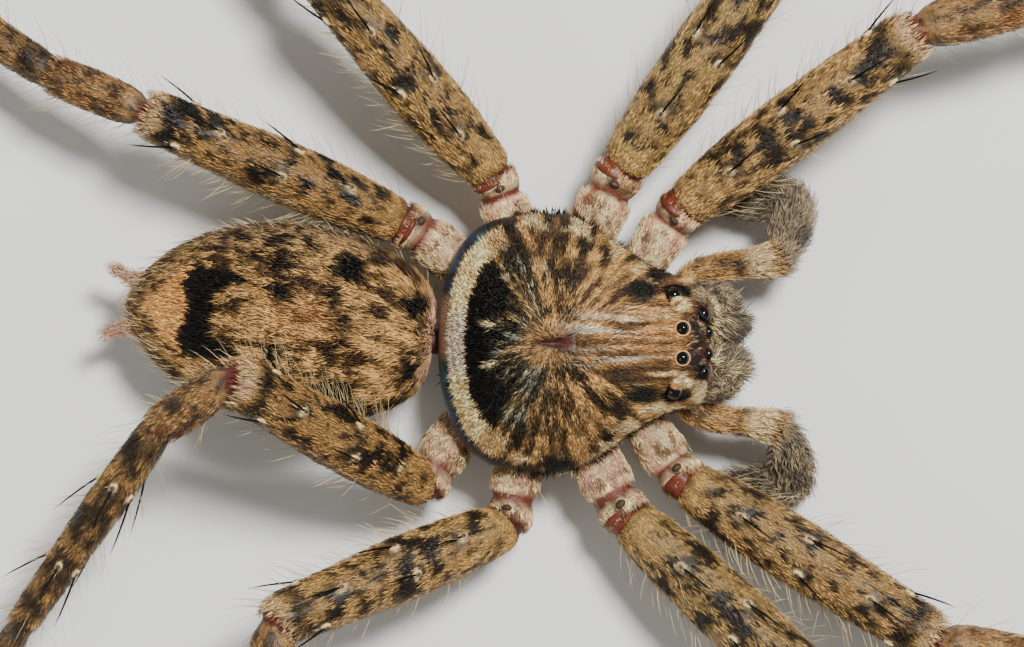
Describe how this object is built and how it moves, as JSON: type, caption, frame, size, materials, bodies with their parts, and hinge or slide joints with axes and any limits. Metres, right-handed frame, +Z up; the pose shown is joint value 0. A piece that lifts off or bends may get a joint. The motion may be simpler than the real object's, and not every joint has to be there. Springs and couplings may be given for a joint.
{
  "type": "huntsman spider",
  "caption": "Life-size female huntsman spider standing with long spiny legs spread flat, as a still natural-history model.",
  "frame": {"origin": "on the floor, under the middle of the spread legs", "axes": "+X towards the head, +Y to the spider's left, +Z up"},
  "size_m": [0.102, 0.0878, 0.0136],
  "materials": {
    "carapace": "short flat hair over a hard shield, tan with dark streaks",
    "abdomen": "short flat hair, golden tan with black bands",
    "leg": "short flat hair, golden brown with dark blotches",
    "leg_root": "pale pinkish cream hair",
    "membrane": "bare reddish brown skin",
    "jaw": "long grey-brown and cream hair",
    "fang": "polished black-brown horn",
    "eye": "wet glossy black lens",
    "spinneret": "pinkish brown, finely haired",
    "spine": "smooth black bristle",
    "coat": "short flat hair",
    "bristle": "long pale fine bristles"
  },
  "bodies": {
    "root": {"cephalothorax": "carapace", "abdomen": "abdomen", "pedicel": "membrane", "eye_front_middle_left": "eye", "eye_front_outer_left": "eye", "eye_rear_middle_left": "eye", "eye_rear_outer_left": "eye", "spinneret_left": "spinneret", "chelicera_left": "jaw", "fang_left": "fang", "palp_left_femur": "leg", "palp_left_tarsus": "leg", "leg_left_1_coxa": "leg_root", "leg_left_1_femur": "leg", "leg_left_1_tibia": "leg", "leg_left_1_tarsus": "leg", "leg_left_2_coxa": "leg_root", "leg_left_2_femur": "leg", "leg_left_2_tibia": "leg", "leg_left_2_tarsus": "leg", "leg_left_3_coxa": "leg_root", "leg_left_3_femur": "leg", "leg_left_3_tibia": "leg", "leg_left_3_tarsus": "leg", "leg_left_4_coxa": "leg_root", "leg_left_4_femur": "leg", "leg_left_4_tibia": "leg", "leg_left_4_tarsus": "leg", "eye_front_middle_right": "eye", "eye_front_outer_right": "eye", "eye_rear_middle_right": "eye", "eye_rear_outer_right": "eye", "spinneret_right": "spinneret", "chelicera_right": "jaw", "fang_right": "fang", "palp_right_femur": "leg", "palp_right_tarsus": "leg", "leg_right_1_coxa": "leg_root", "leg_right_1_femur": "leg", "leg_right_1_tibia": "leg", "leg_right_1_tarsus": "leg", "leg_right_2_coxa": "leg_root", "leg_right_2_femur": "leg", "leg_right_2_tibia": "leg", "leg_right_2_tarsus": "leg", "leg_right_3_coxa": "leg_root", "leg_right_3_femur": "leg", "leg_right_3_tibia": "leg", "leg_right_3_tarsus": "leg", "leg_right_4_coxa": "leg_root", "leg_right_4_femur": "leg", "leg_right_4_tibia": "leg", "leg_right_4_tarsus": "leg"}
  },
  "joints": []
}
